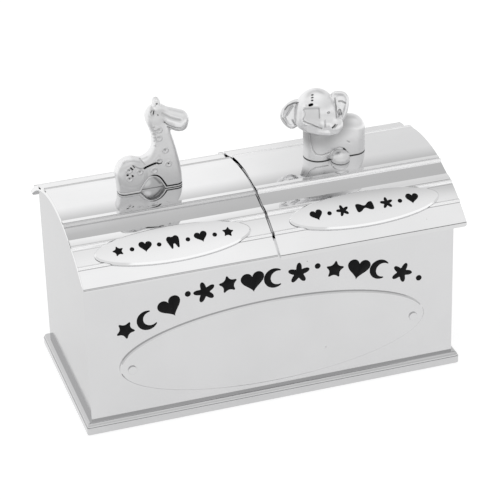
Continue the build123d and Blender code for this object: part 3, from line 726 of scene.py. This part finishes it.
def mark(state, away, width, dark):
    """Groove of a width, with painted shade in it, where away, the distance from its line, is
    small.
    """
    form, painted_shade = state
    form = carve(form, np.hypot(away, form) - width, 0.1)
    return form, np.maximum(painted_shade, dark * ramp(width - away, -0.1, 0.05))


def marks(state, table, u, v, off=0.0):
    """Grooves along lines with painted shade, each given by its points, width and darkness of the
    shade.
    """
    for points, width, dark in table:
        state = mark(state, line(points, u, v) + off, width, dark)
    return state


def paint_shade(state, away, width, dark, soft=0.12):
    """Painted shade alone, with no groove."""
    form, painted_shade = state
    return form, np.maximum(painted_shade, dark * ramp(width - away, -soft, soft))


def join(state, form, soft):
    """Add a form, with no painted shade on it."""
    return blend(state[0], form, soft), np.where(form < state[0], 0.0, state[1])


def lid_gap(across, z, proud):
    """Height over a lid's arch, a hair above it, with z measured from its crown."""
    return np.hypot(across, z + ARCH_RADIUS + proud) - ARCH_RADIUS - proud - 0.03


# Giraffe, in mm from its middle on the crown, X where it looks, Z up
GIRAFFE_X = -21.7
GIRAFFE_SIDE = smooth_outline([
    (-7.0, -3.0), (-7.4, 3.2), (-7.35, 6.2), (-5.9, 7.75), (-3.4, 7.75), (-1.7, 7.35), (0.45, 8.4),
    (1.4, 11.1), (0.75, 13.8), (-0.2, 16.2), (0.2, 18.6), (4.3, 16.4), (5.3, 12.9), (6.25, 9.2),
    (6.95, 5.5), (7.3, 2.7), (7.4, -3.0),
], 2)
GIRAFFE_ARCH = smooth_outline([
    (4.0, -2.0), (3.2, -0.1), (2.55, 1.25), (1.6, 2.85), (0.35, 3.3), (-0.8, 2.6), (-1.6, 1.35),
    (-2.3, 0.3), (-3.4, -2.0),
], 2)
GIRAFFE_HALF, GIRAFFE_ROUND = 1.95, 1.45
# Half of the web left in the arch
WEB_HALF = 0.75
# How much lower its marks, and its ear, sit on the far flank
FAR_MARKS, FAR_EAR = 0.9, 1.0
# Spots: place, and darkness of the painted shade in the pit
GIRAFFE_SPOTS = [
    (2.0, 6.95, 0.5), (4.1, 5.9, 0.9), (3.5, 9.3, 0.6), (0.85, 4.85, 0.1), (-2.5, 5.2, 0.6),
    (-4.85, 5.95, 0.6), (-4.85, 3.95, 0.9), (2.35, 14.35, 0.45), (2.25, 12.4, 0.15),
]
# A spot's ring, the bead on it, its pit and the ring of painted shade round it
SPOT_RING, SPOT_BEAD, SPOT_PIT, SPOT_SHADE_RING = 0.58, 0.14, 0.15, 0.92
# Lines on its flanks, grooves with painted shade: points, width and darkness
GIRAFFE_LINES = [
    ([(3.8, 15.8), (4.3, 15.2), (4.95, 14.75), (6.1, 14.2), (7.3, 14.0)], 0.1, 0.5),
    ([(4.3, 14.7), (5.15, 14.05), (6.7, 13.4)], 0.08, 0.35),
    ([(3.6, 16.0), (3.7, 15.9)], 0.14, 0.6),
    ([(-1.3, 5.8), (-0.4, 6.1), (0.5, 6.35), (1.15, 6.5)], 0.22, 1.0),
    ([(-3.75, 6.85), (-2.7, 6.05), (-1.3, 5.8)], 0.14, 0.35),
    ([(-2.4, 8.0), (-1.8, 7.4), (-1.1, 6.5)], 0.1, 0.3),
    ([(1.5, 6.6), (1.85, 6.3), (2.45, 6.35)], 0.16, 1.0),
    ([(-4.5, 6.55), (-4.1, 6.05)], 0.14, 1.0),
    ([(-4.0, 6.95), (-3.6, 6.4)], 0.1, 0.9),
    ([(-5.35, 4.9), (-5.2, 4.85)], 0.18, 1.0),
    ([(-4.2, 4.55), (-4.1, 4.4)], 0.18, 1.0),
    ([(2.3, 20.2), (2.35, 20.3)], 0.16, 0.7),
    ([(2.2, 18.05), (2.25, 17.95)], 0.13, 0.7),
]
# Eye strokes, grooves with painted shade: points, width and darkness
GIRAFFE_EYES = [
    ([(1.0, 19.35), (0.72, 18.95), (0.68, 18.75)], 0.08, 0.8),
    ([(1.36, 19.1), (1.2, 18.4)], 0.12, 1.0),
]
GIRAFFE_FOLD = [(3.4, 18.05), (4.0, 17.6), (5.0, 16.85), (6.1, 16.3), (7.2, 15.9)]
GIRAFFE_MANE = [(1.4, 10.6), (1.15, 11.6), (1.3, 12.7), (1.0, 13.6), (1.5, 14.6), (1.2, 15.4)]
ARCH_SHADE = [(0.9, 2.7), (1.7, 1.7), (2.3, 0.9)]


def giraffe_form(x, y, z, across, level):
    """The giraffe without its marks."""
    form = slab(outline_distance(GIRAFFE_SIDE, x, z), across - GIRAFFE_HALF, GIRAFFE_ROUND)
    haunch = slab(np.hypot(x + 4.05, z - 4.45) - 3.3, across - 2.2, 1.0)
    form = blend(form, haunch, 0.5)
    head = egg(x, y, z, (2.35, 0.0, 17.4), (2.45, 2.1, 2.4))
    head = blend(head, limb(x, 1.04 * y, z, (3.4, 0.0, 17.1), (7.35, 0.0, 15.2), 2.0, 2.25), 0.6)
    head = blend(head, egg(x, y, z, (6.9, 0.0, 14.45), (2.5, 1.95, 1.75), (0, 28, 0)), 0.5)
    form = blend(form, head, 0.6)
    # Horns side by side, and ears
    horn = limb(x, across, z, (2.35, 0.35, 18.8), (2.45, 0.4, 20.45), 0.8, 0.78)
    form = blend(form, horn, 0.2)
    ear_level = level + np.where(y > 0, FAR_EAR, 0.0)
    ear = egg(x, across, ear_level, (1.1, 1.72, 18.8), (0.6, 0.4, 0.95), (0, -12, 0))
    return blend(form, ear, 0.3)


def giraffe_field(x, y, z):
    """The whole giraffe, and how dark its plating lies."""
    across = np.abs(y)
    level = z + np.where(y > 0, FAR_MARKS, 0.0)
    # Painted shade: its flat flanks are painted a little darker than its back and snout
    snout = ramp(x, 3.4, 4.6) * ramp(z, 13.0, 14.5)
    state = giraffe_form(x, y, z, across, level), 0.2 * ramp(across, 1.1, 1.7) * (1.0 - snout)
    state = marks(state, GIRAFFE_LINES, x, level)
    state = marks(state, GIRAFFE_EYES, x, level, np.where(across < 1.1, OFF, 0.0))
    # Painted shade along the fold, which is also carved
    fold = line(GIRAFFE_FOLD, x, level)
    form, painted_shade = paint_shade(state, fold, 0.22, 0.42, 0.3)
    state = carve(form, np.hypot(fold, form) - 0.22, 0.5), painted_shade
    # Spots: a bead ring, with painted shade in the pit and in a thin ring round it
    for spot_x, spot_z, dark in GIRAFFE_SPOTS:
        away = np.hypot(x - spot_x, z - spot_z)
        form, painted_shade = state
        state = blend(form, np.hypot(away - SPOT_RING, form) - SPOT_BEAD, 0.1), painted_shade
        state = mark(state, away, SPOT_PIT, dark)
        state = paint_shade(state, np.abs(away - SPOT_SHADE_RING), 0.02, 0.3)
    form, painted_shade = state
    for bead_x, bead_z in GIRAFFE_MANE:
        form = blend(form, np.hypot(np.hypot(x - bead_x, z - bead_z), form) - 0.22, 0.12)
    # Arch between the legs, with painted shade in it and along a line, taken away again in a patch
    # painted as lit
    arch = outline_distance(GIRAFFE_ARCH, x, z)
    dome = lid_gap(y, z, 0.0)
    form = carve(form, np.maximum(arch, WEB_HALF - across), 0.25)
    state = form, np.maximum(painted_shade, 0.25 * ramp(-arch, -0.1, 0.1))
    form, painted_shade = paint_shade(state, line(ARCH_SHADE, x, z) + np.maximum(arch, 0.0), 0.3, 0.62, 0.4)
    lit_patch = ramp(0.9 - np.hypot(x + 0.75, z - 1.5), -0.35, 0.35)
    # Groove with painted shade that follows the casting's lower edge, fainter behind
    edge = np.minimum(arch, dome)
    behind = ramp(-x, -0.8, 0.4)
    state = form, painted_shade * (1.0 - lit_patch)
    state = mark(state, np.abs(edge - 0.5), 0.15 - 0.05 * behind, 1.0 - 0.72 * behind)
    # Painted shade along the arch's edge, and a painted contact shadow where it meets the lid, less
    # of it in the arch
    state = paint_shade(state, np.abs(arch), 0.06, 0.5)
    state = paint_shade(state, dome, 0.1, 0.9 - 0.7 * ramp(-arch, -0.1, 0.1))
    return carve(state[0], dome, 0.1), state[1]


# Elephant, in mm from its middle on the crown, in its own frame: -Y where it looks
ELEPHANT_PLACE = (20.5, -1.0)
ELEPHANT_TURN = -17.0
# Ears: depth, and outline seen from where it looks
ELEPHANT_EARS = [
    (0.1, smooth_outline([
        (-6.6, 13.6), (-7.2, 14.6), (-8.5, 14.35), (-10.0, 13.5), (-11.2, 12.0), (-11.6, 10.2),
        (-10.6, 8.2), (-9.0, 7.0), (-7.6, 7.6), (-6.6, 9.4),
    ], 2)),
    (-0.6, smooth_outline([
        (-0.4, 14.9), (0.1, 15.9), (1.2, 16.1), (3.0, 15.9), (4.0, 14.4), (3.9, 12.6), (3.3, 9.9),
        (2.3, 8.3), (0.9, 8.7), (-0.3, 10.6),
    ], 2)),
]
# How much lower a point looks for each mm that it lies nearer, seen from above the front
LOOK_SLOPE = 0.5585
FACE_DEPTH = 3.9
# How far back the marks on the legs, inside the ears and on the face reach
LEGS_BACK, EARS_BACK, FACE_BACK = 0.8, 0.9, -1.0
# Lines on its face, grooves with painted shade set at the face's depth: points, width and darkness
ELEPHANT_LINES = [
    ([(-6.3, 10.85), (-5.3, 10.2), (-4.6, 9.95), (-3.7, 9.45), (-2.95, 9.05), (-2.4, 8.95)],
     0.13, 0.42),
    ([(-2.92, 13.8), (-2.85, 12.6), (-2.83, 11.4)], 0.12, 0.42),
    ([(-6.25, 13.6), (-5.95, 12.6), (-6.1, 11.9), (-6.4, 11.3)], 0.12, 0.2),
    ([(-1.55, 10.9), (-1.65, 10.0), (-1.6, 9.2)], 0.16, 0.2),
    ([(0.62, 9.78), (0.3, 9.35), (-0.05, 8.95)], 0.12, 1.0),
    ([(1.05, 9.75), (0.75, 9.35), (0.45, 8.95)], 0.1, 0.6),
    ([(-0.9, 12.75), (-0.7, 12.85)], 0.24, 0.3),
    ([(-4.88, 14.74), (-4.48, 14.9)], 0.31, 1.0),
    ([(-4.45, 15.9), (-4.25, 15.95)], 0.15, 1.0),
    ([(-4.4, 16.62), (-4.2, 16.66)], 0.14, 1.0),
    ([(-4.38, 17.32), (-4.15, 17.36)], 0.14, 1.0),
]
# The trunk's plane on the face, with painted shade that makes it a little darker, and the painted
# shade along its top
TRUNK_PLANE = smooth_outline([
    (-6.1, 13.9), (-2.9, 13.9), (-2.7, 10.8), (-2.4, 9.3), (-4.6, 10.1), (-6.2, 11.2),
], 1)
TRUNK_TOP = [(-5.9, 13.9), (-3.1, 13.9)]
# Lines on the legs' face, grooves with painted shade: down the front leg and under the chest, the
# hem over the foot, and beside it
LEG_LINES = [
    ([(-4.9, 6.5), (-4.75, 4.4), (-4.4, 2.9), (-3.6, 1.75), (-2.2, 1.45), (-0.8, 1.6)], 0.17, 0.25),
    ([(-0.3, 0.6), (0.2, 1.6), (0.9, 2.25), (1.7, 2.5), (2.5, 2.15), (3.0, 1.6)], 0.1, 0.2),
    ([(2.65, 1.95), (3.1, 1.3), (3.5, 0.75)], 0.16, 0.9),
    ([(3.5, 3.7), (3.9, 3.3)], 0.14, 0.25),
]
# Lines inside the ears, grooves with painted shade, set at the middle of the depth
EAR_LINES = [
    ([(-10.3, 11.9), (-9.6, 12.85), (-8.4, 13.45), (-7.4, 13.4)], 0.1, 0.75),
    ([(-9.9, 10.6), (-9.2, 11.8), (-8.6, 12.7)], 0.2, 0.2),
    ([(-10.8, 9.8), (-10.0, 8.3)], 0.12, 0.4),
    ([(-8.7, 9.3), (-8.1, 8.1)], 0.14, 0.35),
    ([(0.75, 14.3), (0.95, 12.0), (0.95, 9.3)], 0.12, 0.4),
    ([(1.6, 13.5), (2.3, 13.5), (3.0, 13.0)], 0.16, 0.35),
    ([(1.75, 11.3), (1.95, 10.4)], 0.3, 0.3),
]
# Trunk across the chin, and the jaw's lip below it: points and radii
TRUNK_ROUTE = [(-4.4, -3.2, 11.4), (-3.0, -3.4, 10.9), (-1.4, -3.3, 10.3), (0.2, -2.9, 9.9)]
TRUNK_RADII = [1.5, 1.5, 1.45, 1.4]
JAW_ROUTE = [
    (-6.6, -1.9, 9.3), (-5.0, -2.8, 8.8), (-2.9, -3.2, 8.3), (-0.8, -3.0, 8.0), (0.6, -2.8, 8.3),
]
JAW_RADII = [1.1, 1.2, 1.2, 1.25, 1.4]


def elephant_ear(x, y, z, looked, depth, outline):
    """Shallow cup with a rolled rim and folds, open to the front."""
    away, lean = outline_distance(outline, x, looked), y - depth
    ear = slab(away, np.abs(lean) - 0.95, 0.8)
    folds = 0.13 * np.cos(2.6 * (x - 0.35 * z)) * ramp(-away, 0.7, 1.3)
    return carve(ear, slab(away + 0.8, lean + 0.5 + folds, 0.6), 0.6)


def elephant_field(x, y, z):
    """The whole elephant, and how dark its plating lies."""
    turn = math.radians(ELEPHANT_TURN)
    dome = lid_gap(ELEPHANT_PLACE[1] + math.sin(turn) * x + math.cos(turn) * y, z, CURL_PROUD)
    # Body along the lid, front legs, and a foot stepping out from under it
    u, v, w = turned(x, y, z, (0.91, 2.06, 0.0), (0, 0, -ELEPHANT_TURN))
    flat = np.hypot(np.maximum(np.abs(u) - 4.1, 0.0), v) - 2.75
    form = slab(flat, w + 0.2 * u - 9.6, 2.7)
    form = blend(form, limb(x, y, z, (-3.1, 1.1, -2.0), (-3.1, 1.1, 9.0), 3.25, 3.2), 1.2)
    state = form, np.zeros(np.shape(form))
    state = marks(state, LEG_LINES, x, z, np.where(y > LEGS_BACK, OFF, 0.0))
    head = egg(x, y, z, (-3.5, -0.5, 11.8), (4.6, 3.8, 5.2))
    head = blend(head, egg(x, y, z, (-3.0, -1.3, 9.9), (4.9, 3.3, 2.9)), 1.2)
    # Shade under the head, and a slight one on the foot
    state = paint_shade(state, head, 3.2, 0.44, 1.8)
    foot = egg(x, y, z, (1.8, -1.7, 0.45), (2.15, 2.1, 1.95), (0, 6, 0))
    state = join(state, foot, 0.25)
    state = paint_shade(state, foot, 0.3, 0.13, 0.3)
    state = join(state, head, 0.4)
    # Trunk: a broad plane down the face, across the chin and curled up to its tip
    p, q, s = turned(x, y, z, (-4.5, -3.0, 12.0), (-12, 0, -6))
    plane = slab(np.abs(p) - 1.7, np.maximum(np.abs(q) - 1.35, np.abs(s) - 2.1), 0.6)
    state = join(state, plane, 0.7)
    state = join(state, route(x, y, z, TRUNK_ROUTE, TRUNK_RADII), 0.6)
    state = join(state, route(x, y, z, JAW_ROUTE, JAW_RADII), 0.5)
    state = join(state, egg(x, y, z, (0.55, -2.9, 9.3), (1.9, 1.8, 1.85)), 0.4)
    looked = z + LOOK_SLOPE * y
    for depth, outline in ELEPHANT_EARS:
        state = join(state, elephant_ear(x, y, z, looked, depth, outline), 0.35)
    state = marks(state, EAR_LINES, x, looked, np.where(y > EARS_BACK, OFF, 0.0))
    face_z = z + LOOK_SLOPE * (y + FACE_DEPTH)
    off = np.where(y > FACE_BACK, OFF, 0.0)
    state = marks(state, ELEPHANT_LINES, x, face_z, off)
    # Painted shade along the top of the trunk's plane, and a little over the plane itself
    form, painted_shade = paint_shade(state, line(TRUNK_TOP, x, face_z) + off, 0.3, 0.42, 0.35)
    plane = outline_distance(TRUNK_PLANE, x, face_z)
    state = form, np.maximum(painted_shade, 0.17 * ramp(-plane - off, -0.4, 0.4))
    # Painted contact shadow where it meets the lid, less of it under the foot
    state = paint_shade(state, dome, 0.14, 1.0 - 0.65 * ramp(-foot, -0.4, 0.2))
    return carve(state[0], dome, 0.1), state[1]


def sculpture(name, field, low, high, step, place, body, node):
    """Skin a field into a casting that stands for a node."""
    points, faces, normals = skin(field, low, high, step)
    mesh = bpy.data.meshes.new(name)
    mesh.from_pydata((points * MM).tolist(), [], faces.tolist())
    mesh.transform(place)
    mesh.materials.append(CAST_SILVER)
    mesh.shade_smooth()
    turned_normals = normals @ np.array(place.to_3x3()).T
    mesh.normals_split_custom_set_from_vertices(turned_normals.tolist())
    painted_shade_layer = mesh.attributes.new("painted_shade_layer", "FLOAT", "POINT")
    painted_shade_layer.data.foreach_set("value", field(*points.T)[1].astype(np.float32))
    made = bpy.data.objects.new(name, mesh)
    bpy.context.scene.collection.objects.link(made)
    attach(made, body)
    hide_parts(node)


# Each field's lowest and highest corner and its step, in mm
sculpture(
    "giraffe_casting", giraffe_field, (-8.2, -3.2, -0.7), (10.4, 3.2, 22.0), 0.13,
    Matrix.Translation(Vector((GIRAFFE_X, 0.0, CROWN_Z)) * MM), "tooth_lid", "giraffe",
)
sculpture(
    "elephant_casting", elephant_field, (-12.2, -6.2, -1.4), (9.2, 6.4, 17.8), 0.15,
    Matrix.Translation(Vector((*ELEPHANT_PLACE, CROWN_Z + CURL_PROUD)) * MM)
    @ Matrix.Rotation(math.radians(ELEPHANT_TURN), 4, "Z"), "curl_lid", "elephant",
)

# Floor, light and camera
FLOOR_HALF = 4.0
FLOOR_CORNERS = [(-1, -1), (1, -1), (1, 1), (-1, 1)]
floor_mesh = bpy.data.meshes.new("floor")
floor_mesh.from_pydata(
    [(FLOOR_HALF * x, FLOOR_HALF * y, 0) for x, y in FLOOR_CORNERS], [], [(0, 1, 2, 3)]
)
floor = bpy.data.objects.new("floor", floor_mesh)
bpy.context.scene.collection.objects.link(floor)
floor_look, tree = material("floor")
tree.surface({
    "Base Color": (0.45, 0.45, 0.45, 1.0),
    "Roughness": 0.9,
    "Specular IOR Level": 0.0,
    "Emission Color": (1.0, 1.0, 1.0, 1.0),
    "Emission Strength": 0.72,
})
floor_mesh.materials.append(floor_look)

# Grey of the sky, by the height of the direction, behind the object and in front of it
REAR_STOPS = [
    (0.0, 0.95), (0.42, 1.10), (0.54, 1.05), (0.62, 0.96), (0.69, 0.82), (0.76, 0.62), (0.80, 0.55),
    (0.85, 0.54), (0.915, 0.54), (0.94, 0.80), (0.96, 0.90), (1.0, 0.92),
]
FRONT_STOPS = [
    (0.0, 0.80), (0.35, 0.84), (0.6, 0.86), (0.76, 0.92), (0.88, 1.08), (0.95, 1.05), (1.0, 0.92),
]
# How much the front and the low rear dim towards the right
FRONT_DIM, LOW_REAR_DIM = 0.08, 0.21

world = bpy.data.worlds.new("studio")
bpy.context.scene.world = world
world.use_nodes = True
tree = Tree(world.node_tree)
toward = tree.split(tree.add("ShaderNodeTexCoord").outputs["Generated"])


def height_ramp(stops):
    """Grey that changes with the height of the direction."""
    node = tree.add("ShaderNodeValToRGB", {"Fac": toward["Z"]})
    greys = node.color_ramp
    greys.interpolation = "B_SPLINE"
    while len(greys.elements) > 1:
        greys.elements.remove(greys.elements[-1])
    greys.elements[0].position = stops[0][0]
    greys.elements[0].color = (stops[0][1],) * 3 + (1.0,)
    for place, level in stops[1:]:
        greys.elements.new(place).color = (level,) * 3 + (1.0,)
    return node.outputs["Color"]


rear = tree.band(toward["Y"], -0.08, 0.14)
sky = tree.mix(rear, height_ramp(FRONT_STOPS), height_ramp(REAR_STOPS))
right_side = tree.band(toward["X"], 0.24, 0.31)
low_rear = tree.math("MULTIPLY", tree.band(toward["Z"], 0.86, 0.80), rear)
front_dim = tree.math("SUBTRACT", FRONT_DIM, tree.math("MULTIPLY", rear, FRONT_DIM))
dim = tree.add("ShaderNodeMix", {0: low_rear, 2: front_dim, 3: LOW_REAR_DIM}).outputs[0]
shade = tree.math("SUBTRACT", 1.0, tree.math("MULTIPLY", right_side, dim))
studio = tree.add("ShaderNodeBackground", {"Color": sky, "Strength": shade})
tree.add("ShaderNodeOutputWorld", {"Surface": studio.outputs["Background"]})

bpy.context.scene.view_settings.view_transform = "Standard"

# The photo's camera: angles in radians, lens in pixels of the frame, place in mm
AZIMUTH, ELEVATION, ROLL = -0.3002907971, 0.5093374743, -0.0288143924
FOCAL_PIXELS, FRAME_PIXELS, SENSOR = 2249.696465, 500.0, 36.0
DISTANCE, ASIDE, RAISE, LIFT = 522.5718, 0.2718142, 23.7856282, 0.2
level_reach = math.cos(ELEVATION)
back = Vector((
    math.sin(AZIMUTH) * level_reach, -math.cos(AZIMUTH) * level_reach, math.sin(ELEVATION)
))
right = Vector((math.cos(AZIMUTH), math.sin(AZIMUTH), 0.0))
up = back.cross(right)
right, up = (
    math.cos(ROLL) * right + math.sin(ROLL) * up, -math.sin(ROLL) * right + math.cos(ROLL) * up
)
camera_data = bpy.data.cameras.new("camera")
camera_data.sensor_width = SENSOR
camera_data.lens = FOCAL_PIXELS / FRAME_PIXELS * SENSOR
camera_data.clip_start, camera_data.clip_end = 0.01, 20.0
camera = bpy.data.objects.new("camera", camera_data)
spot = (back * DISTANCE + right * ASIDE + up * RAISE + Vector((0, 0, LIFT))) * MM
camera.matrix_world = Matrix.Translation(spot) @ Matrix((right, up, back)).transposed().to_4x4()
bpy.context.scene.collection.objects.link(camera)
bpy.context.scene.camera = camera
